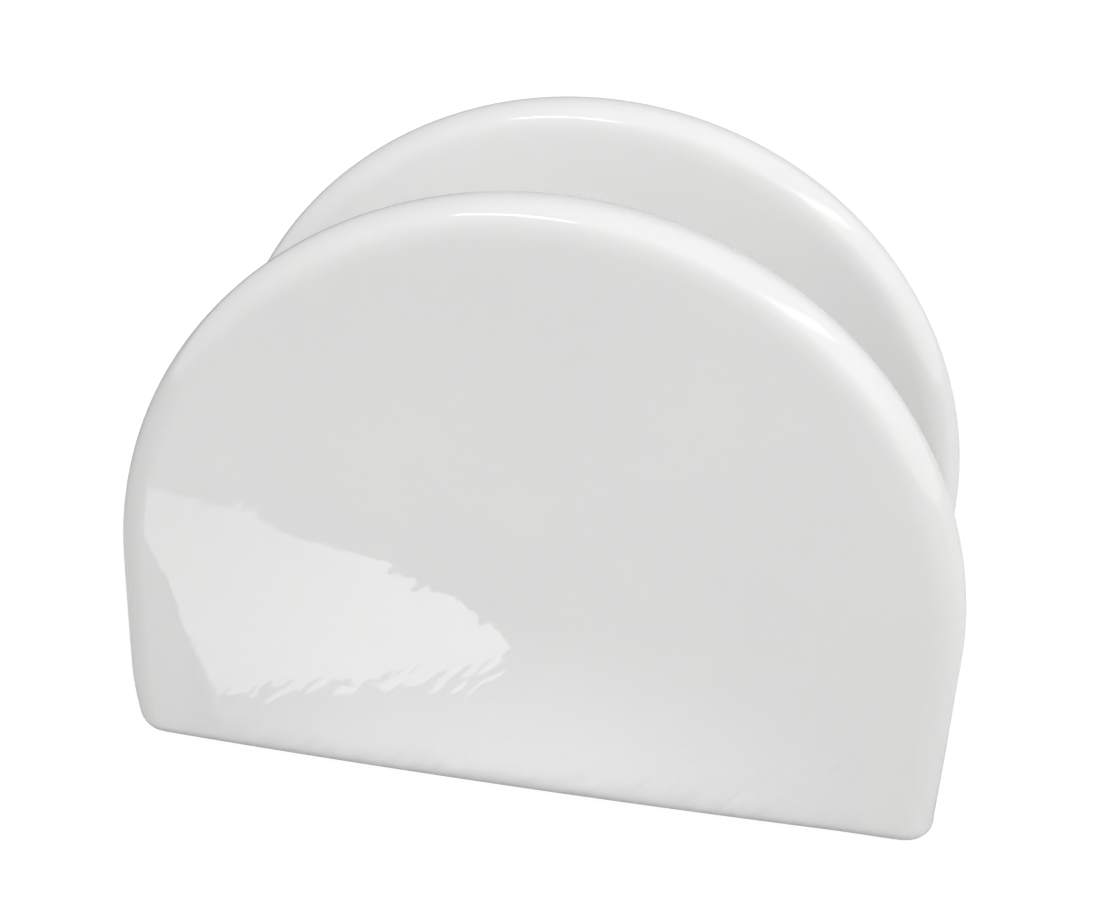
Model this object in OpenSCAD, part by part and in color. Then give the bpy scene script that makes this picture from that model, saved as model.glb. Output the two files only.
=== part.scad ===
// Napkin holder in glazed white porcelain: two hollow half-moon walls stand on bare feet,
// and a floor joined to them with slip carries the napkins.
// Frame: X along the walls, Y through them, Z up. Origin: centre of the footprint, on the table.

/* [Walls] */
// Width of each wall, from side to side
wall_w = 120; // [100:1:140]
// Height of the upright sides, from the underside of the wall to the start of its arch
straight_h = 29; // [20:1:50]
// Thickness of each wall at its full-round edge
wall_t = 10; // [9:0.5:14]
// How far the middle of the outer face stands proud of a flat one
face_bow = 1; // [0.5:0.1:3]
// Rounding of the lower edge, all the way round
base_round = 2.5; // [1.5:0.1:3]
// Thickness of the cast skin round the hollow
skin = 3; // [2.4:0.1:3.5]
// Diameter of the air vent under each hollow
vent_d = 2.4; // [1.6:0.1:3]

/* [Floor] */
// Clear space between the walls
gap = 36; // [24:1:50]
// Thickness of the floor
floor_t = 5.5; // [4:0.5:8]
// How far the ends of the floor stand in from the sides of the walls
floor_set_in = 8; // [7:0.5:20]
// Radius of the cove where the floor meets a wall
seam_r = 4; // [2:0.5:6]
// Thickness of the slip left at the two edges of a cove
seam_lip = 0.2; // [0.1:0.1:0.5]

/* [Feet] */
// Height of the bare foot under each wall
foot_h = 1; // [0.6:0.1:2]
// How far the foot stands in from where the rounding of the lower edge ends
foot_set_in = 0.4; // [0.2:0.1:0.6]

/* [Hidden] */
$fn = 64;

// The bowed face is an arc of so large a radius that it needs finer steps than the rest
bow_fn = 720;
// Overrun of every cut
over = 1;

// Full-round edge, and how far its centre line lies from the middle of the wall
edge_r = wall_t / 2;
nose_x = wall_w / 2 - edge_r;

// The bowed face runs into both round sides without a break: the two arcs share their end normals
core_r = (nose_x * nose_x + face_bow * face_bow) / (2 * face_bow);
bow_angle = asin(nose_x / core_r);
bow_y = core_r - face_bow;

// Middle of each wall, underside of the floor, and centre line of the floor's full-round ends
wall_y = (gap + wall_t) / 2;
floor_z = foot_h + base_round;
floor_nose_x = wall_w / 2 - floor_set_in - floor_t / 2;

// Plan of what lies between the two radii on which the bowed face ends
module bow_wedge() {
    reach = edge_r + face_bow + over;
    polygon([
        [-nose_x, 0],
        [nose_x, 0],
        [nose_x + reach * sin(bow_angle), -reach * cos(bow_angle)],
        [-nose_x - reach * sin(bow_angle), -reach * cos(bow_angle)]
    ]);
}

// Plan section of a wall, drawn in from its surface by inset: bowed face at -Y, flat face at +Y
module wall_section(inset = 0) {
    for (x = [-nose_x, nose_x]) translate([x, 0]) circle(edge_r - inset);
    translate([-nose_x, 0]) square([2 * nose_x, edge_r - inset]);
    intersection() {
        translate([0, bow_y]) circle(core_r + edge_r - inset, $fn = bow_fn);
        bow_wedge();
    }
}

// Half of that section turned through half a circle: the arch of a wall, from the spring line up
module wall_arch(inset = 0) {
    rotate([90, 0, 0]) rotate_extrude(angle = 180) intersection() {
        mirror([0, 1]) wall_section(inset);
        translate([0, -wall_t]) square([wall_w, 2 * wall_t]);
    }
}

// Upright slice through the lower edge of a wall, from one distance to another, rounded below
module edge_profile(from, to) {
    translate([from, base_round]) square([to - from, base_round]);
    translate([from, 0]) square([to - base_round - from, base_round]);
    intersection() {
        translate([to - base_round, base_round]) circle(base_round);
        translate([to - base_round, 0]) square(base_round);
    }
}

// The rounded lower edge of a wall, lapping up its plain sides by as much as its rounding
module wall_lower_edge() {
    // Full-round sides
    for (x = [-nose_x, nose_x]) translate([x, 0, 0]) rotate_extrude() edge_profile(0, edge_r);
    // Bowed outer face
    intersection() {
        translate([0, bow_y, 0]) rotate_extrude($fn = bow_fn) edge_profile(core_r - edge_r, core_r + edge_r);
        linear_extrude(2 * base_round) bow_wedge();
    }
    // Flat inner face
    translate([-nose_x, 0, 0]) rotate([90, 0, 90])
        linear_extrude(2 * nose_x) edge_profile(-face_bow, edge_r);
}

// One wall, its underside at zero: a cast shell round one hollow, open to the air at a small vent
module wall() {
    difference() {
        union() {
            translate([0, 0, straight_h]) wall_arch();
            translate([0, 0, base_round]) linear_extrude(straight_h - base_round) wall_section();
            wall_lower_edge();
        }
        union() {
            translate([0, 0, straight_h]) wall_arch(skin);
            translate([0, 0, skin]) linear_extrude(straight_h - skin) wall_section(skin);
        }
        translate([0, 0, -over]) cylinder(d = vent_d, h = skin + 2 * over);
    }
}

// Bare foot: a straight strip with round ends, just inside the flat underside of a wall,
// with the vent coming through
module foot() {
    foot_r = edge_r - base_round - foot_set_in;
    difference() {
        union() {
            for (x = [-nose_x, nose_x]) translate([x, 0, 0]) cylinder(r = foot_r, h = foot_h);
            translate([-nose_x, -foot_r, 0]) cube([2 * nose_x, 2 * foot_r, foot_h]);
        }
        translate([0, 0, -over]) cylinder(d = vent_d, h = foot_h + 2 * over);
    }
}

// Cove of slip between the face of a wall, at zero along X, and the floor, at zero along Y
module cove() {
    difference() {
        square(seam_r + seam_lip);
        translate([seam_r + seam_lip, seam_r + seam_lip]) circle(seam_r);
    }
}

// One seam: a cove along the floor that turns down round each of its ends
module seam() {
    translate([0, -gap / 2, floor_z + floor_t / 2]) {
        translate([-floor_nose_x, 0, floor_t / 2]) rotate([90, 0, 90])
            linear_extrude(2 * floor_nose_x) cove();
        for (side = [0, 1]) mirror([side, 0, 0]) translate([floor_nose_x, 0, 0])
            rotate([90, 0, 0]) rotate_extrude(angle = 90)
                translate([floor_t / 2, 0]) mirror([0, 1]) rotate(90) mirror([0, 1]) cove();
    }
}

module front_wall() {
    color("whitesmoke") translate([0, -wall_y, foot_h]) wall();
}

module rear_wall() {
    color("whitesmoke") mirror([0, 1, 0]) translate([0, -wall_y, foot_h]) wall();
}

module floor_slab() {
    color("white") translate([0, gap / 2, floor_z + floor_t / 2]) rotate([90, 0, 0]) linear_extrude(gap) {
        for (x = [-floor_nose_x, floor_nose_x]) translate([x, 0]) circle(d = floor_t);
        translate([-floor_nose_x, -floor_t / 2]) square([2 * floor_nose_x, floor_t]);
    }
}

module front_foot() {
    color("linen") translate([0, -wall_y, 0]) foot();
}

module rear_foot() {
    color("linen") mirror([0, 1, 0]) translate([0, -wall_y, 0]) foot();
}

module front_seam() {
    color("snow") seam();
}

module rear_seam() {
    color("snow") mirror([0, 1, 0]) seam();
}

front_wall();
rear_wall();
floor_slab();
front_foot();
rear_foot();
front_seam();
rear_seam();
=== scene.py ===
"""Looks of a napkin holder in glazed white porcelain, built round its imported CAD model."""

import math

import bmesh
import bpy
from mathutils import Matrix, Quaternion, Vector, noise


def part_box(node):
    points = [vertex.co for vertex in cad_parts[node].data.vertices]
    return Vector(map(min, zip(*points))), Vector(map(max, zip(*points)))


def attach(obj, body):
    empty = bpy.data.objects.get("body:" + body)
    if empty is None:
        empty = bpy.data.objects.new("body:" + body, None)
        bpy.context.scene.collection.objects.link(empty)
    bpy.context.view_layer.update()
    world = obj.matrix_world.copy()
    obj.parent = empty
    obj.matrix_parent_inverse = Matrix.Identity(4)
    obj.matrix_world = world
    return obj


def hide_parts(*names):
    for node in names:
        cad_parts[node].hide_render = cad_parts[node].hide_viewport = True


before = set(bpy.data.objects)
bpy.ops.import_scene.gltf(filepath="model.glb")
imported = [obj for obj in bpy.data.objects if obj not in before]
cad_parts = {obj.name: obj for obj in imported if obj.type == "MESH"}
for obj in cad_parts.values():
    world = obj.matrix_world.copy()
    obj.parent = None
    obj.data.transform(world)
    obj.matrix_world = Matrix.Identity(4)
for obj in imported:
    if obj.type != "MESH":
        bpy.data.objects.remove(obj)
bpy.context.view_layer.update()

# Walls
# Two half-moons, slip cast hollow in white porcelain and fired under a clear glossy glaze.
# A softly bowed outer face runs over a full-round rim into the flat inner face, the lower
# edge is rounded off, and a small vent below lets the air out of the hollow in the kiln.
MM = 0.001
RIM_R = 5 * MM
BOW = 1 * MM
LOWER_EDGE_R = 2.5 * MM
SKIN = 3 * MM
VENT_R = 1.2 * MM
wall_low, wall_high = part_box("front_wall")
ARCH_R = wall_high.x
NOSE_X = ARCH_R - RIM_R
FOOT_H = wall_low.z
SPRING_Z = wall_high.z - ARCH_R
SPRING_H = SPRING_Z - FOOT_H
INNER_Y = wall_high.y

# The casting shrank a little more at its foot than at the spring of the arch, and unevenly: it
# is drawn in more at one end than at the other, most of all in the last centimetre. The powers
# say how fast that dies out, up the wall and from its ends towards its middle
DRAW_IN_MORE = 0.5 * MM
DRAW_IN_LESS = 0.22 * MM
DRAW_IN_POWER = 1.5
CORNER_IN = 1.3 * MM
CORNER_H = 10 * MM
CORNER_POWER = 1.8
END_POWER = 4
# The other end also kept its lower corner squarer, by these shares sideways and down. That sets
# in and is full where the nearness to the end, which is 1 at the end itself, has these values
CORNER_OUT = 0.45 * MM
CORNER_SIDEWAYS = 0.6
CORNER_DOWN = 0.55
CORNER_STARTS = 0.3
CORNER_FULL = 0.7

# Depth of the soft hollows and swells that casting and drying leave in every face, and the
# heights between which they set in on a wall
UNEVEN = 0.10 * MM
UNEVEN_LENGTH = 26 * MM
UNEVEN_STARTS_Z = 14 * MM
UNEVEN_FULL_Z = 24 * MM

# Faces of the mesh: their length on the skin and in the hollow, the share of it that those on the
# rim have, the last row above the rounded lower edge, and how near two points are made one
SKIN_STEP = 1.6 * MM
HOLLOW_STEP = 4 * MM
RIM_STEP_SHARE = 0.32
RIM_SIDES_LEAST = 8
LAST_ROW = 1 * MM
LOWER_EDGE_SIDES = 8
VENT_SIDES = 32
WELD = 0.02 * MM

# How deep the glaze lies, as it is kept on the vertices: 0 is thin
EVEN = 0.5
SAGGED = 0.62
POOLED = 1.0
# It sags towards the foot of a wall between these heights, and thins towards the rim between
# these distances from the middle of the arch
SAG_FULL_Z = 10 * MM
SAG_ENDS_Z = 30 * MM
THINS_FROM_R = NOSE_X - 8 * MM
THIN_R = NOSE_X + 2.5 * MM


def linear(hex_colour):
    """The linear colour of an sRGB hex value."""
    shares = [int(hex_colour[i:i + 2], 16) / 255 for i in (1, 3, 5)]
    return [s / 12.92 if s <= 0.04045 else ((s + 0.055) / 1.055) ** 2.4 for s in shares] + [1.0]


def add_node(tree, kind, sockets=(), **settings):
    """Adds a node with its settings; each of its sockets gets a value, or a link from an output."""
    node = tree.nodes.new(kind)
    for name, value in settings.items():
        setattr(node, name, value)
    for socket, value in dict(sockets).items():
        if isinstance(value, bpy.types.NodeSocket):
            tree.links.new(value, node.inputs[socket])
        else:
            node.inputs[socket].default_value = value
    return node


def new_material(name):
    """An empty node material and its tree."""
    material = bpy.data.materials.new(name)
    material.use_nodes = True
    material.node_tree.nodes.clear()
    return material, material.node_tree


# Clear feldspar glaze, dipped, over slip-cast white porcelain: a neutral white that lets a little
# light in, under a glassy coat. It mirrors softly, and the slow waves and fine orange peel left
# by the dip break the edges of what it mirrors. It thins on edges and pools grey in the coves.
GLAZE_CLOUD = 30 * MM
GLAZE_WAVE = 9 * MM
WAVE_SQUEEZE = 0.55
WAVE_DEPTH = 0.11 * MM
RUN_LENGTH = 5.5 * MM
RUN_WIDTH = 1.8 * MM
RUN_SLANT = math.radians(50)
RUN_DEPTH = 0.24 * MM
RUNS_START = 0.47
RUNS_END = 0.75
GLAZE_PEEL = 1.6 * MM
PEEL_DEPTH = 0.006 * MM
glaze, tree = new_material("clear_glaze_over_white_porcelain")
place = add_node(tree, "ShaderNodeTexCoord").outputs["Object"]
cloud = add_node(tree, "ShaderNodeTexNoise", {
    "Vector": place,
    "Scale": 1 / GLAZE_CLOUD,
    "Detail": 3.0,
    "Roughness": 0.5,
})
body_colour = add_node(tree, "ShaderNodeMix", {
    "Factor": cloud.outputs["Fac"],
    "A": linear("#e9eae9"),
    "B": linear("#eeeeed"),
}, data_type="RGBA")
depth = add_node(tree, "ShaderNodeAttribute", attribute_name="glaze_depth").outputs["Fac"]
pooled_share = add_node(tree, "ShaderNodeMapRange", {
    "Value": depth,
    "From Min": EVEN,
    "From Max": POOLED,
    "To Max": 0.5,
})
glazed_colour = add_node(tree, "ShaderNodeMix", {
    "Factor": pooled_share.outputs["Result"],
    "A": body_colour.outputs["Result"],
    "B": linear("#d9dedd"),
}, data_type="RGBA")
# The dip runs down the faces, so its waves are longer from side to side than from top to bottom
stretched = add_node(tree, "ShaderNodeMapping", {
    "Vector": place,
    "Scale": (WAVE_SQUEEZE, 1.0, 1.0),
})
wave = add_node(tree, "ShaderNodeTexNoise", {
    "Vector": stretched.outputs[0],
    "Scale": 1 / GLAZE_WAVE,
    "Detail": 2.0,
    "Roughness": 0.45,
})
wave_bump = add_node(tree, "ShaderNodeBump", {
    "Height": wave.outputs["Fac"],
    "Strength": 1.0,
    "Distance": WAVE_DEPTH,
})
# Slanting runs, longer along their slant than across it: strongest where the glaze has sagged
# low on the walls, faint on the rest of the faces, and none where it is thin or has pooled
runs_place = add_node(tree, "ShaderNodeMapping", {
    "Vector": place,
    "Rotation": (0, -RUN_SLANT, 0),
    "Scale": (RUN_LENGTH, RUN_LENGTH, RUN_WIDTH),
}, vector_type="TEXTURE")
runs = add_node(tree, "ShaderNodeTexNoise", {
    "Vector": runs_place.outputs[0],
    "Scale": 1.0,
    "Detail": 1.0,
    "Roughness": 0.4,
})
sagged_share = add_node(tree, "ShaderNodeMapRange", {
    "Value": depth,
    "From Min": RUNS_START,
    "From Max": SAGGED,
})
runs_share = add_node(tree, "ShaderNodeMapRange", {
    "Value": depth,
    "From Min": SAGGED,
    "From Max": RUNS_END,
    "To Min": sagged_share.outputs["Result"],
    "To Max": 0.0,
})
runs_bump = add_node(tree, "ShaderNodeBump", {
    "Height": runs.outputs["Fac"],
    "Strength": runs_share.outputs["Result"],
    "Distance": RUN_DEPTH,
    "Normal": wave_bump.outputs[0],
})
peel = add_node(tree, "ShaderNodeTexNoise", {
    "Vector": place,
    "Scale": 1 / GLAZE_PEEL,
    "Detail": 1.0,
    "Roughness": 0.4,
})
peel_bump = add_node(tree, "ShaderNodeBump", {
    "Height": peel.outputs["Fac"],
    "Strength": 1.0,
    "Distance": PEEL_DEPTH,
    "Normal": runs_bump.outputs[0],
})
gloss = add_node(tree, "ShaderNodeMapRange", {
    "Value": cloud.outputs["Fac"],
    "To Min": 0.008,
    "To Max": 0.022,
})
surface = add_node(tree, "ShaderNodeBsdfPrincipled", {
    "Base Color": glazed_colour.outputs["Result"],
    "Roughness": gloss.outputs["Result"],
    "IOR": 1.5,
    "Subsurface Weight": 0.12,
    "Subsurface Radius": (1.0, 0.95, 0.9),
    "Subsurface Scale": 0.8 * MM,
    "Normal": peel_bump.outputs[0],
})
add_node(tree, "ShaderNodeOutputMaterial", {"Surface": surface.outputs[0]})


def smooth_step(value, low, high):
    """Rises smoothly from 0 at low to 1 at high."""
    share = min(max((value - low) / (high - low), 0), 1)
    return share * share * (3 - 2 * share)


def boundary(bm):
    """The open edges of a mesh."""
    return [e for e in bm.edges if e.is_boundary]


def verts_of(geom):
    """The vertices among the parts of a mesh."""
    return [g for g in geom if isinstance(g, bmesh.types.BMVert)]


def half_moon(inset, underside, step):
    """A half-moon shell in a wall's own frame, drawn in by inset and open below at its underside.

    Its plan section runs from the middle of the bowed face to the middle of the flat one, is
    turned over the arch, and is drawn down from the spring line."""
    bm = bmesh.new()
    core_r = (NOSE_X ** 2 + BOW ** 2) / (2 * BOW)
    bow_angle = math.asin(NOSE_X / core_r)
    rim_r = RIM_R - inset
    face_steps = round(NOSE_X / step)
    start = bm.verts.new((0, -rim_r - BOW, SPRING_H))
    bow = bmesh.ops.spin(bm, geom=[start], cent=(0, core_r - BOW, SPRING_H), axis=(0, 0, 1),
                         angle=bow_angle, steps=face_steps)
    rim_steps = max(RIM_SIDES_LEAST, round(math.pi * rim_r / (RIM_STEP_SHARE * step)))
    rim = bmesh.ops.spin(bm, geom=verts_of(bow["geom_last"]), cent=(NOSE_X, 0, SPRING_H),
                         axis=(0, 0, 1), angle=math.pi - bow_angle, steps=rim_steps)
    tip = verts_of(rim["geom_last"])
    for _ in range(face_steps):
        tip = bmesh.ops.extrude_vert_indiv(bm, verts=tip)["verts"]
        bmesh.ops.translate(bm, verts=tip, vec=(-NOSE_X / face_steps, 0, 0))
    section = bm.verts[:] + bm.edges[:]
    bmesh.ops.spin(bm, geom=section, cent=(0, 0, SPRING_H), axis=(0, 1, 0),
                   angle=-math.pi, steps=round(math.pi * ARCH_R / step))
    bmesh.ops.remove_doubles(bm, verts=bm.verts, dist=WELD)
    bmesh.ops.dissolve_degenerate(bm, edges=bm.edges, dist=WELD / 2)
    last_row = max(LOWER_EDGE_R, underside) + LAST_ROW
    rows = round((SPRING_H - last_row) / step)
    drops = [(SPRING_H - last_row) / rows] * rows + [last_row - underside]
    for drop in drops:
        grown = bmesh.ops.extrude_edge_only(bm, edges=boundary(bm))["geom"]
        bmesh.ops.translate(bm, verts=verts_of(grown), vec=(0, 0, -drop))
    return bm


def close_round_vent(bm, z):
    """Closes a shell's open underside up to the round edge of the vent."""
    rim = boundary(bm)
    circle = bmesh.ops.create_circle(bm, segments=VENT_SIDES, radius=VENT_R,
                                     matrix=Matrix.Translation((0, 0, z)))["verts"]
    edge = list(dict.fromkeys(e for v in circle for e in v.link_edges))
    bmesh.ops.triangle_fill(bm, edges=rim + edge, use_beauty=True)


def uneven(bm, keep):
    """Sinks each vertex along its normal by a slow random depth; keep says how much of it holds."""
    bm.normal_update()
    for v in bm.verts:
        swell = 0.5 + 0.5 * noise.noise(v.co / UNEVEN_LENGTH)
        v.co -= v.normal * UNEVEN * min(max(swell, 0), 1) * keep(v.co)


def finish_piece(name, bm, material, node):
    """Makes a smooth piece of the mesh, in place of the CAD node."""
    mesh = bpy.data.meshes.new(name)
    bm.to_mesh(mesh)
    bm.free()
    for face in mesh.polygons:
        face.use_smooth = True
    mesh.materials.append(material)
    piece = bpy.data.objects.new(name, mesh)
    bpy.context.scene.collection.objects.link(piece)
    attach(piece, "root")
    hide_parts(node)
    return piece


def note_glaze_depth(piece, depth_at):
    """Keeps on each vertex how deep the glaze lies there."""
    layer = piece.data.attributes.new("glaze_depth", "FLOAT", "POINT")
    for i, v in enumerate(piece.data.vertices):
        layer.data[i].value = depth_at(v.co)


def wall_swells(co):
    """How much of the unevenness holds on a wall: none at its foot, and all of it further up."""
    return smooth_step(co.z, UNEVEN_STARTS_Z, UNEVEN_FULL_Z)


def wall_glaze_depth(co):
    """Even over the faces of a wall, sagged a little towards the foot, and thin on the round rim,
    which the glaze draws back from."""
    from_middle = math.hypot(co.x, max(co.z - SPRING_Z, 0))
    sagged = (SAGGED - EVEN) * (1 - smooth_step(co.z, SAG_FULL_Z, SAG_ENDS_Z))
    return (EVEN + sagged) * (1 - smooth_step(from_middle, THINS_FROM_R, THIN_R))


def wall(name, side):
    """One wall, whose bowed face looks to side: -1 for the front, 1 for the rear."""
    bm = half_moon(0, 0, SKIN_STEP)
    lower_edge = boundary(bm)
    bmesh.ops.contextual_create(bm, geom=lower_edge)
    bmesh.ops.bevel(bm, geom=lower_edge, offset=LOWER_EDGE_R, offset_type="OFFSET",
                    segments=LOWER_EDGE_SIDES, profile=0.5, affect="EDGES", clamp_overlap=False,
                    material=-1)
    bottom = max(bm.faces, key=lambda f: len(f.verts))
    bmesh.ops.delete(bm, geom=[bottom], context="FACES_ONLY")
    close_round_vent(bm, 0)

    # The hollow, joined to the outside through the vent
    hollow = half_moon(SKIN, SKIN, HOLLOW_STEP)
    close_round_vent(hollow, SKIN)
    hollow_mesh = bpy.data.meshes.new("hollow")
    hollow.to_mesh(hollow_mesh)
    hollow.free()
    bm.from_mesh(hollow_mesh)
    bpy.data.meshes.remove(hollow_mesh)
    bmesh.ops.bridge_loops(bm, edges=boundary(bm))

    # Drawn in below the spring line, then set on its foot; the rear wall is the same casting
    # turned by half a turn
    for v in bm.verts:
        height = min(max(v.co.z / SPRING_H, 0), 1)
        near_end = (abs(v.co.x) / ARCH_R) ** END_POWER
        if v.co.x < 0:
            low_corner = max(1 - v.co.z / CORNER_H, 0)
            v.co.x += (DRAW_IN_MORE * (1 - height) ** DRAW_IN_POWER
                       + CORNER_IN * low_corner ** CORNER_POWER) * near_end
        else:
            v.co.x -= DRAW_IN_LESS * (1 - height) ** DRAW_IN_POWER * near_end
            round_share = max(1 - v.co.z / LOWER_EDGE_R, 0)
            square = (math.sin(2 * math.asin(round_share)) * CORNER_OUT
                      * smooth_step(near_end, CORNER_STARTS, CORNER_FULL))
            v.co.x += square * CORNER_SIDEWAYS
            v.co.z -= square * CORNER_DOWN
    bmesh.ops.scale(bm, vec=(-side, -side, 1), verts=bm.verts)
    bmesh.ops.translate(bm, verts=bm.verts, vec=(0, side * (RIM_R - INNER_Y), FOOT_H))
    bmesh.ops.recalc_face_normals(bm, faces=bm.faces)
    uneven(bm, wall_swells)
    piece = finish_piece(name + "_glazed", bm, glaze, name)
    note_glaze_depth(piece, wall_glaze_depth)


wall("front_wall", -1)
wall("rear_wall", 1)

# Floor
# A flat slab of the same porcelain with full-round ends, cast on its own and stuck between the
# walls with slip while all three were leather hard. The napkins stand on it. It is glazed all over.
slab_low, slab_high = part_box("floor_slab")
slab_t = slab_high.z - slab_low.z
SLAB_HOLD = 0.5 * MM
SLAB_STEP = 2.2 * MM
SLAB_END_SIDES = 12
# Both edges of an end are rounded by just under half the thickness, so that they don't meet
SLAB_END_SHARE = 0.499
# Distances from a wall: the swells die out before the seam, and the glaze pools towards it
SWELLS_FADE = 9 * MM
SWELLS_END = 5 * MM
POOL_STARTS = 8 * MM
POOL_FULL = 3 * MM


def edges_along(bm, axis, length):
    """The edges that reach further than length along an axis: 0 is X and 1 is Y."""
    return [e for e in bm.edges if abs((e.verts[0].co - e.verts[1].co)[axis]) > length]


def slab_swells(co):
    """How much of the unevenness holds on the floor: all of it but near the walls."""
    return 1 - smooth_step(abs(co.y), slab_high.y - SWELLS_FADE, slab_high.y - SWELLS_END)


def slab_glaze_depth(co):
    """Even over the floor, and pooled towards the seams."""
    near_wall = smooth_step(abs(co.y), slab_high.y - POOL_STARTS, slab_high.y - POOL_FULL)
    return EVEN + (POOLED - EVEN) * near_wall


bm = bmesh.new()
bmesh.ops.create_cube(bm, size=1)
bmesh.ops.scale(bm, vec=(2 * slab_high.x, 2 * (slab_high.y + SLAB_HOLD), slab_t), verts=bm.verts)
bmesh.ops.translate(bm, vec=(0, 0, slab_low.z + slab_t / 2), verts=bm.verts)
bmesh.ops.bevel(bm, geom=edges_along(bm, 1, SLAB_HOLD), offset=SLAB_END_SHARE * slab_t,
                offset_type="OFFSET", segments=SLAB_END_SIDES, profile=0.5, affect="EDGES",
                clamp_overlap=False, material=-1)
bmesh.ops.subdivide_edges(bm, edges=edges_along(bm, 1, SLAB_HOLD),
                          cuts=round(2 * slab_high.y / SLAB_STEP), use_grid_fill=True)
bmesh.ops.subdivide_edges(bm, edges=edges_along(bm, 0, slab_t),
                          cuts=round(2 * slab_high.x / SLAB_STEP), use_grid_fill=True)
bmesh.ops.recalc_face_normals(bm, faces=bm.faces)
uneven(bm, slab_swells)
floor_slab = finish_piece("floor_slab_glazed", bm, glaze, "floor_slab")
note_glaze_depth(floor_slab, slab_glaze_depth)

# Seams
# Slip run along the joint of floor and wall and wiped with a fingertip to a smooth hollow cove.
# It turns down round both ends of the floor and thins out to nothing on their undersides.
cove_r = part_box("front_seam")[1].z - slab_high.z
COVE_BITE = 0.004 * MM
COVE_ROOT = 0.4 * MM
COVE_SIDES = 16
COVE_STEP = 2.2 * MM
THINS_FROM = math.radians(70)
THINS_TO = math.radians(135)
THINS_BY = 0.97
TURN_STEPS = 36


def edges_of(geom):
    """The edges among the parts of a mesh."""
    return [g for g in geom if isinstance(g, bmesh.types.BMEdge)]


def seam(name, side):
    """The cove along one wall: side -1 for the front one, 1 for the rear one."""
    bm = bmesh.new()
    # Section at the middle of the floor: the hollow arc, closed over a root inside wall and floor
    top = bm.verts.new((0, INNER_Y, slab_high.z + cove_r))
    arc = bmesh.ops.spin(bm, geom=[top], cent=(0, INNER_Y + cove_r, slab_high.z + cove_r),
                         axis=(1, 0, 0), angle=math.pi / 2, steps=COVE_SIDES)
    toe = verts_of(arc["geom_last"])[0]
    under = bm.verts.new(toe.co + Vector((0, 0, -COVE_ROOT)))
    root = bm.verts.new((0, INNER_Y - COVE_ROOT, slab_high.z - COVE_ROOT))
    behind = bm.verts.new(top.co + Vector((0, -COVE_ROOT, 0)))
    for pair in ((toe, under), (under, root), (root, behind), (behind, top)):
        bm.edges.new(pair)
    bmesh.ops.translate(bm, verts=bm.verts, vec=(0, -COVE_BITE, -COVE_BITE))

    # Drawn along the floor, then turned round its end, thinning out
    nose_x = slab_high.x - slab_t / 2
    row = bm.edges[:]
    straight_rows = round(nose_x / COVE_STEP)
    for _ in range(straight_rows):
        grown = bmesh.ops.extrude_edge_only(bm, edges=row)["geom"]
        row = edges_of(grown)
        bmesh.ops.translate(bm, verts=verts_of(grown), vec=(nose_x / straight_rows, 0, 0))
    axis_point = Vector((nose_x, 0, slab_low.z + slab_t / 2))
    corner = Vector((nose_x, INNER_Y, slab_high.z))
    turn = THINS_TO / TURN_STEPS
    about_end = Matrix.Rotation(turn, 3, "Y")
    last_share = 1
    for step in range(1, TURN_STEPS + 1):
        grown = bmesh.ops.extrude_edge_only(bm, edges=row)["geom"]
        row = edges_of(grown)
        bmesh.ops.rotate(bm, cent=axis_point, matrix=about_end, verts=verts_of(grown))
        corner = axis_point + about_end @ (corner - axis_point)
        share = 1 - THINS_BY * smooth_step(step * turn, THINS_FROM, THINS_TO)
        shrink = share / last_share
        last_share = share
        bmesh.ops.scale(bm, vec=(shrink, shrink, shrink), space=Matrix.Translation(-corner),
                        verts=verts_of(grown))
    bmesh.ops.contextual_create(bm, geom=row)
    half = bm.verts[:] + bm.edges[:] + bm.faces[:]
    bmesh.ops.mirror(bm, geom=half, axis="X", merge_dist=COVE_BITE)
    bmesh.ops.scale(bm, vec=(1, -side, 1), verts=bm.verts)
    bmesh.ops.recalc_face_normals(bm, faces=bm.faces)
    piece = finish_piece(name + "_glazed", bm, glaze, name)
    note_glaze_depth(piece, lambda co: POOLED)


seam("front_seam", -1)
seam("rear_seam", 1)

# Feet
# A strip under each wall that is wiped clean of glaze before firing, so that the holder doesn't
# stick to the kiln shelf. The bare porcelain is dry and faintly warm, with an eased lower edge.
FOOT_EASE = 0.25 * MM
FOOT_EASE_SIDES = 3
FOOT_SIDES = 64

# Vitrified porcelain without glaze: warmer and duller than the rest, with the fine tooth of a
# fired body. The real grain of about 0.05 mm is drawn at 0.35 mm so that it shows.
BARE_GRAIN = 0.35 * MM
GRAIN_DEPTH = 0.03 * MM
RUBBED = 6 * MM
bare, tree = new_material("bare_wiped_porcelain")
place = add_node(tree, "ShaderNodeTexCoord").outputs["Object"]
grain = add_node(tree, "ShaderNodeTexNoise", {
    "Vector": place,
    "Scale": 1 / BARE_GRAIN,
    "Detail": 2.0,
})
rubbed = add_node(tree, "ShaderNodeTexNoise", {
    "Vector": place,
    "Scale": 1 / RUBBED,
    "Detail": 3.0,
})
rub_share = add_node(tree, "ShaderNodeMapRange", {
    "Value": rubbed.outputs["Fac"],
    "From Min": 0.52,
    "From Max": 0.75,
})
bare_colour = add_node(tree, "ShaderNodeMix", {
    "Factor": rub_share.outputs["Result"],
    "A": linear("#e4ded2"),
    "B": linear("#cfc9be"),
}, data_type="RGBA")
grain_bump = add_node(tree, "ShaderNodeBump", {
    "Height": grain.outputs["Fac"],
    "Strength": 1.0,
    "Distance": GRAIN_DEPTH,
})
surface = add_node(tree, "ShaderNodeBsdfPrincipled", {
    "Base Color": bare_colour.outputs["Result"],
    "Roughness": 0.78,
    "IOR": 1.5,
    "Normal": grain_bump.outputs[0],
})
add_node(tree, "ShaderNodeOutputMaterial", {"Surface": surface.outputs[0]})


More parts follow.
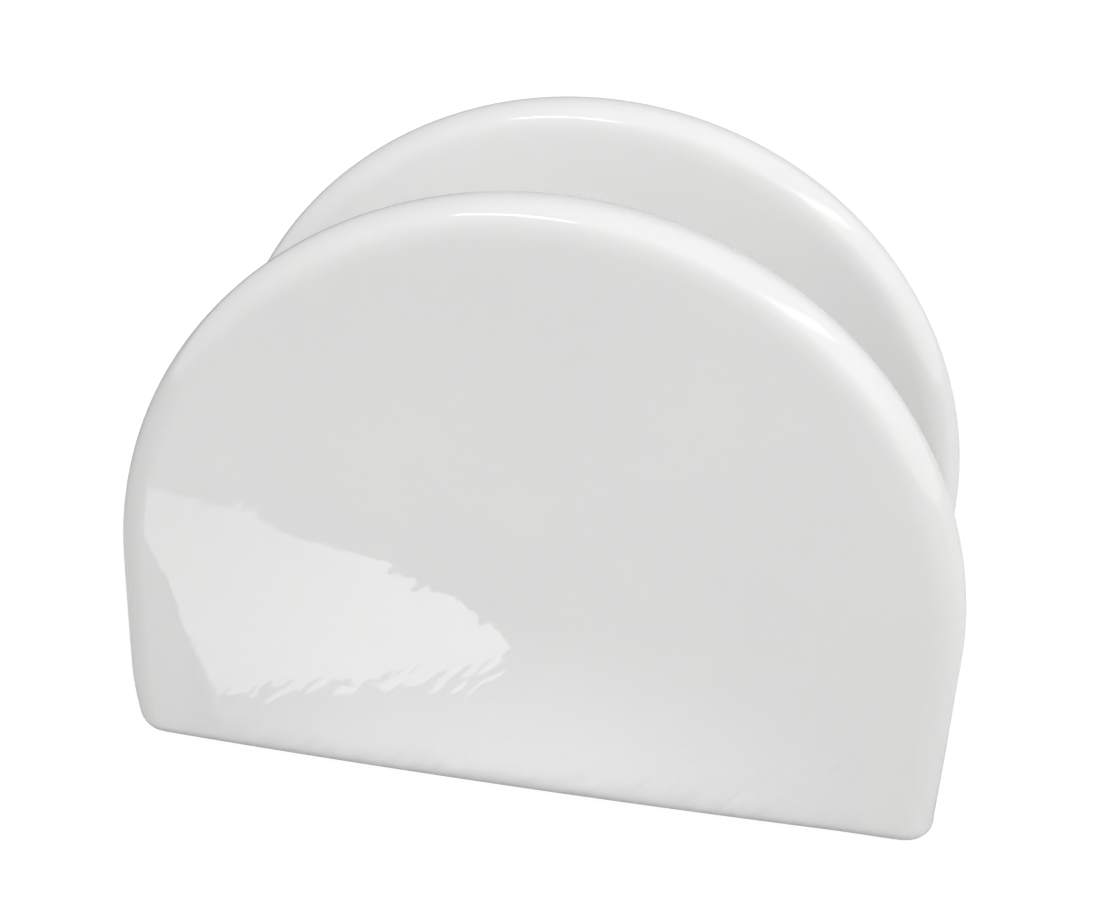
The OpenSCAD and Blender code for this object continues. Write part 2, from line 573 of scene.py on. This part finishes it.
def foot(name, side):
    """The bare strip under one wall, with the vent coming through."""
    low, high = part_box("front_foot")
    foot_r = (high.y - low.y) / 2
    nose_x = high.x - foot_r
    bm = bmesh.new()
    # A circle, each half of which goes to its own end; the two points between go to the right
    ring = bmesh.ops.create_circle(bm, segments=FOOT_SIDES, radius=foot_r)["verts"]
    for v in ring:
        v.co.x += math.copysign(nose_x, v.co.x + foot_r / FOOT_SIDES)
    edge = bm.edges[:]
    circle = bmesh.ops.create_circle(bm, segments=VENT_SIDES, radius=VENT_R)["verts"]
    vent_edge = list(dict.fromkeys(e for v in circle for e in v.link_edges))
    bmesh.ops.triangle_fill(bm, edges=edge + vent_edge, use_beauty=True)
    sole = bm.faces[:]
    grown = bmesh.ops.extrude_face_region(bm, geom=sole, use_keep_orig=True)["geom"]
    bmesh.ops.translate(bm, verts=verts_of(grown), vec=(0, 0, high.z))
    bmesh.ops.bevel(bm, geom=edge + vent_edge, offset=FOOT_EASE, offset_type="OFFSET",
                    segments=FOOT_EASE_SIDES, profile=0.5, affect="EDGES", clamp_overlap=False,
                    material=-1)
    bmesh.ops.translate(bm, verts=bm.verts, vec=(0, side * (RIM_R - INNER_Y), 0))
    bmesh.ops.recalc_face_normals(bm, faces=bm.faces)
    finish_piece(name + "_bare", bm, bare, name)


foot("front_foot", -1)
foot("rear_foot", 1)

# Floor and backdrop of the studio
# A plain pale sheet that shows pure white round the holder, apart from the holder's soft shadow.
# A share of lit paper carries the shadow, and a glow a little above white makes up for it.
STAGE_SIZE = 6
PAPER_GLOW = 1.14
SHADOW_SHARE = 0.16
stage_material, tree = new_material("pale_studio_paper")
seen = add_node(tree, "ShaderNodeLightPath").outputs
seen_or_mirrored = add_node(tree, "ShaderNodeMath", {
    0: seen["Is Camera Ray"],
    1: seen["Is Glossy Ray"],
}, operation="MAXIMUM")
seen_somehow = add_node(tree, "ShaderNodeMath", {
    0: seen_or_mirrored.outputs[0],
    1: seen["Is Transmission Ray"],
}, operation="MAXIMUM")
paper = add_node(tree, "ShaderNodeBsdfDiffuse", {"Color": linear("#b8b8b7")})
white = add_node(tree, "ShaderNodeEmission", {"Strength": PAPER_GLOW})
shown = add_node(tree, "ShaderNodeMixShader", {
    0: SHADOW_SHARE,
    1: white.outputs[0],
    2: paper.outputs[0],
})
stage_surface = add_node(tree, "ShaderNodeMixShader", {
    0: seen_somehow.outputs[0],
    1: paper.outputs[0],
    2: shown.outputs[0],
})
add_node(tree, "ShaderNodeOutputMaterial", {"Surface": stage_surface.outputs[0]})
bm = bmesh.new()
bmesh.ops.create_grid(bm, x_segments=1, y_segments=1, size=STAGE_SIZE / 2)
stage_mesh = bpy.data.meshes.new("studio_floor")
bm.to_mesh(stage_mesh)
bm.free()
stage_mesh.materials.append(stage_material)
studio_floor = bpy.data.objects.new("studio_floor", stage_mesh)
bpy.context.scene.collection.objects.link(studio_floor)

# Cards over the floor, which the glaze mirrors. Their corners are in millimetres. Where two lie
# over each other, the higher one shows. The grey one lies all round the holder, so that its
# outline shows darker than its faces, and the pale one, with its glow, lies before it.
GREY_Z = 0.2 * MM
PALE_Z = 0.3 * MM
GLOW_Z = 0.4 * MM
SUN_Z = 0.5 * MM
GREY = 0.12
PALE = 0.55
GLOW = 2.0
GLOW_X = -3 * MM
GLOW_Y = -36 * MM
GLOW_REACH_X = 66 * MM
GLOW_REACH_Y = 44 * MM


def floor_card(name, height, corners, mirrored, cast=None):
    """A flat card over the floor that the glaze mirrors, at a strength that comes from nodes.

    With cast it throws light of that strength too, and otherwise nothing but the glaze shows it."""
    material, tree = new_material(name)
    strength = mirrored(tree)
    if cast is not None:
        seen = add_node(tree, "ShaderNodeLightPath").outputs
        strength = add_node(tree, "ShaderNodeMix", {
            "Factor": seen["Is Glossy Ray"],
            "A": cast,
            "B": strength,
        }).outputs["Result"]
    glow = add_node(tree, "ShaderNodeEmission", {"Strength": strength})
    add_node(tree, "ShaderNodeOutputMaterial", {"Surface": glow.outputs[0]})
    bm = bmesh.new()
    for x, y in corners:
        bm.verts.new((x * MM, y * MM, height))
    bmesh.ops.contextual_create(bm, geom=bm.verts)
    mesh = bpy.data.meshes.new(name)
    bm.to_mesh(mesh)
    bm.free()
    mesh.materials.append(material)
    card = bpy.data.objects.new(name, mesh)
    bpy.context.scene.collection.objects.link(card)
    card.visible_camera = False
    card.visible_shadow = False
    card.visible_transmission = False
    card.visible_diffuse = cast is not None


def along(tree, axis, places, strengths):
    """Goes smoothly from one strength to the other between two places on a card, in millimetres."""
    place = add_node(tree, "ShaderNodeTexCoord").outputs["Object"]
    return add_node(tree, "ShaderNodeMapRange", {
        "Value": add_node(tree, "ShaderNodeSeparateXYZ", {0: place}).outputs[axis],
        "From Min": places[0] * MM,
        "From Max": places[1] * MM,
        "To Min": strengths[0],
        "To Max": strengths[1],
    }, interpolation_type="SMOOTHSTEP").outputs["Result"]


def grey_strength(tree):
    """Dark on the left and in front, and paler behind and to the right."""
    share = add_node(tree, "ShaderNodeMath", {
        0: along(tree, "Y", (-60, 20), (0.0, 1.0)),
        1: along(tree, "X", (-160, -60), (0.0, 0.6)),
    }, operation="MULTIPLY").outputs[0]
    return add_node(tree, "ShaderNodeMath", {0: share, 1: GREY}, operation="ADD").outputs[0]


def pale_strength(tree):
    """Pale before the middle of the holder, with a soft round painted glow near its front wall,
    which
    fades where the wall meets the floor: painted shade for the wall's shadow on the floor there."""
    pale = add_node(tree, "ShaderNodeMath", {
        0: along(tree, "Y", (-260, -90), (0.0, PALE)),
        1: along(tree, "X", (-10, 95), (1.0, 0.0)),
    }, operation="MULTIPLY").outputs[0]
    place = add_node(tree, "ShaderNodeTexCoord").outputs["Object"]
    spot = add_node(tree, "ShaderNodeMapping", {
        "Vector": place,
        "Location": (GLOW_X, GLOW_Y, 0),
        "Scale": (GLOW_REACH_X, GLOW_REACH_Y, 1),
    }, vector_type="TEXTURE")
    fade = add_node(tree, "ShaderNodeTexGradient", {
        "Vector": spot.outputs[0],
    }, gradient_type="SPHERICAL")
    glow = add_node(tree, "ShaderNodeMapRange", {
        "Value": fade.outputs["Fac"],
        "To Max": GLOW,
    }, interpolation_type="SMOOTHSTEP").outputs["Result"]
    both = add_node(tree, "ShaderNodeMath", {0: pale, 1: glow}, operation="ADD").outputs[0]
    # Painted shadow: close to the front wall the card fades down to the grey, where the wall shades
    # the floor
    return add_node(tree, "ShaderNodeMath", {
        0: both,
        1: along(tree, "Y", (-37, -30.5), (1.0, 0.0)),
        2: GREY,
    }, operation="MULTIPLY_ADD").outputs[0]


def sun_strength(tree):
    """Painted sunlight on the floor, brighter towards +X."""
    return along(tree, "X", (-100, -8), (1.75, 3.8))


floor_card("grey_card", GREY_Z, (
    (-2500, -2500), (2500, -2500), (2500, 2500), (-2500, 2500),
), grey_strength)
floor_card("pale_card", PALE_Z, (
    (-400, -2500), (100, -2500), (100, -31), (-46, -31), (-55, -46), (-75, -78), (-112, -112),
), pale_strength)
floor_card("glow_card", GLOW_Z, (
    (-36, -36), (50, -36), (40, -48), (12, -58), (-8, -54),
), pale_strength, cast=0.55)
# One behind throws light on the outer face of the rear wall
floor_card("back_card", GLOW_Z, (
    (-600, 45), (600, 45), (600, 450), (-600, 450),
), grey_strength, cast=1.0)
# A glowing card paints a patch of sunlight on the floor in front of the holder; its front wall
# mirrors this painted light
floor_card("sunlit_patch", SUN_Z, (
    (-116, -101), (-88, -104), (-80, -103), (-69, -102), (-58, -95), (-50, -95), (-41, -93),
    (-33, -86), (-26, -82), (-20, -80), (-15, -75), (-9, -70), (-9, -64), (-16, -56), (-24, -53),
    (-33, -50), (-45, -45), (-51, -43), (-60, -54), (-66, -62), (-78, -78), (-89, -91), (-104, -95),
), sun_strength, cast=0.5)

# The light of the room: even and low for the lit side of things. In the glaze it shows as a long
# bright ceiling over the holder, which darkens towards the floor, the front, the back and the left.
AMBIENT = 0.3
ROOM_DARK = 0.1
ROOM_BRIGHT = 2.95
# Axis of the direction, the two places on it, and the shares of the brightness there
ROOM_FADES = (
    ("Y", (-1.0, -0.35), (0.0, 1.0)),
    ("Y", (-0.1, 1.2), (1.0, 0.25)),
    ("Z", (0.0, 0.6), (0.6, 1.0)),
    ("X", (-1.0, 0.6), (0.62, 1.32)),
    ("X", (0.7, 1.0), (1.0, 0.75)),
)
world = bpy.data.worlds.new("studio")
bpy.context.scene.world = world
world.use_nodes = True
tree = world.node_tree
tree.nodes.clear()
place = add_node(tree, "ShaderNodeTexCoord").outputs["Object"]
direction = add_node(tree, "ShaderNodeSeparateXYZ", {0: place}).outputs
ceiling = 1.0
for axis, places, shares in ROOM_FADES:
    fade = add_node(tree, "ShaderNodeMapRange", {
        "Value": direction[axis],
        "From Min": places[0],
        "From Max": places[1],
        "To Min": shares[0],
        "To Max": shares[1],
    }, interpolation_type="SMOOTHSTEP")
    ceiling = add_node(tree, "ShaderNodeMath", {
        0: ceiling,
        1: fade.outputs["Result"],
    }, operation="MULTIPLY").outputs[0]
mirrored = add_node(tree, "ShaderNodeMapRange", {
    "Value": ceiling,
    "To Min": ROOM_DARK,
    "To Max": ROOM_BRIGHT,
})
seen = add_node(tree, "ShaderNodeLightPath").outputs
shown = add_node(tree, "ShaderNodeMath", {
    0: seen["Is Camera Ray"],
    1: seen["Is Transmission Ray"],
}, operation="MAXIMUM")
lit_or_shown = add_node(tree, "ShaderNodeMapRange", {
    "Value": shown.outputs[0],
    "To Min": AMBIENT,
    "To Max": 1.0,
})
level = add_node(tree, "ShaderNodeMix", {
    "Factor": seen["Is Glossy Ray"],
    "A": lit_or_shown.outputs["Result"],
    "B": mirrored.outputs["Result"],
})
sky = add_node(tree, "ShaderNodeBackground", {
    "Color": linear("#ffffff"),
    "Strength": level.outputs["Result"],
})
add_node(tree, "ShaderNodeOutputWorld", {"Surface": sky.outputs[0]})

# Four soft square lamps light the holder, and two narrow ones show as lines in its glaze. Sizes
# and distance are in metres.
LAMP_AIM = Vector((0, 0, 0.04))
LAMP_DISTANCE = 1
LAMP_SIZE = 0.5


def softbox(name, azimuth, elevation, power, width=LAMP_SIZE, height=LAMP_SIZE, mirrored=False):
    """An area lamp seen from the holder at azimuth, from the front towards +X, and elevation.

    Either it lights the holder and the glaze doesn't mirror it, or it shows in the glaze alone."""
    data = bpy.data.lights.new(name, "AREA")
    data.shape = "RECTANGLE"
    data.size = width
    data.size_y = height
    data.energy = power
    lamp = bpy.data.objects.new(name, data)
    turn, rise = math.radians(azimuth), math.radians(elevation)
    towards = Vector((
        math.sin(turn) * math.cos(rise),
        -math.cos(turn) * math.cos(rise),
        math.sin(rise),
    ))
    lamp.location = LAMP_AIM + towards * LAMP_DISTANCE
    lamp.rotation_euler = (-towards).to_track_quat("-Z", "Y").to_euler()
    lamp.visible_glossy = mirrored
    lamp.visible_diffuse = not mirrored
    lamp.visible_camera = False
    lamp.visible_transmission = False
    bpy.context.scene.collection.objects.link(lamp)


softbox("window_right", 60, 25, 5.8)
softbox("window_front", -30, 15, 1.2)
softbox("window_left", -60, 25, 3.3)
softbox("ceiling_back", 180, 50, 1.5)
softbox("strip_left", -30, 60, 0.7, width=0.45, height=0.07, mirrored=True)
softbox("strip_right", 72, 42, 0.7, width=0.7, height=0.13, mirrored=True)

# Camera
# Placed so that the holder's outline falls where the photograph has it.
IMAGE_W = 1116
FOCAL_PX = 1850.4
SENSOR_MM = 36
AIM = Vector((-0.771, 0, 41.563)) * MM
DISTANCE = 276.204 * MM
AZIMUTH = math.radians(8.502)
ELEVATION = math.radians(26.592)
ROLL = math.radians(3.117)
back = Vector((
    math.sin(AZIMUTH) * math.cos(ELEVATION),
    -math.cos(AZIMUTH) * math.cos(ELEVATION),
    math.sin(ELEVATION),
))
camera_data = bpy.data.cameras.new("camera")
camera_data.sensor_width = SENSOR_MM
camera_data.lens = FOCAL_PX / IMAGE_W * SENSOR_MM
camera_data.clip_start = 1 * MM
camera = bpy.data.objects.new("camera", camera_data)
bpy.context.scene.collection.objects.link(camera)
camera.location = AIM + back * DISTANCE
level_turn = (-back).to_track_quat("-Z", "Y")
camera.rotation_mode = "QUATERNION"
camera.rotation_quaternion = level_turn @ Quaternion((0, 0, 1), ROLL)
bpy.context.scene.camera = camera
bpy.context.scene.view_settings.view_transform = "Standard"
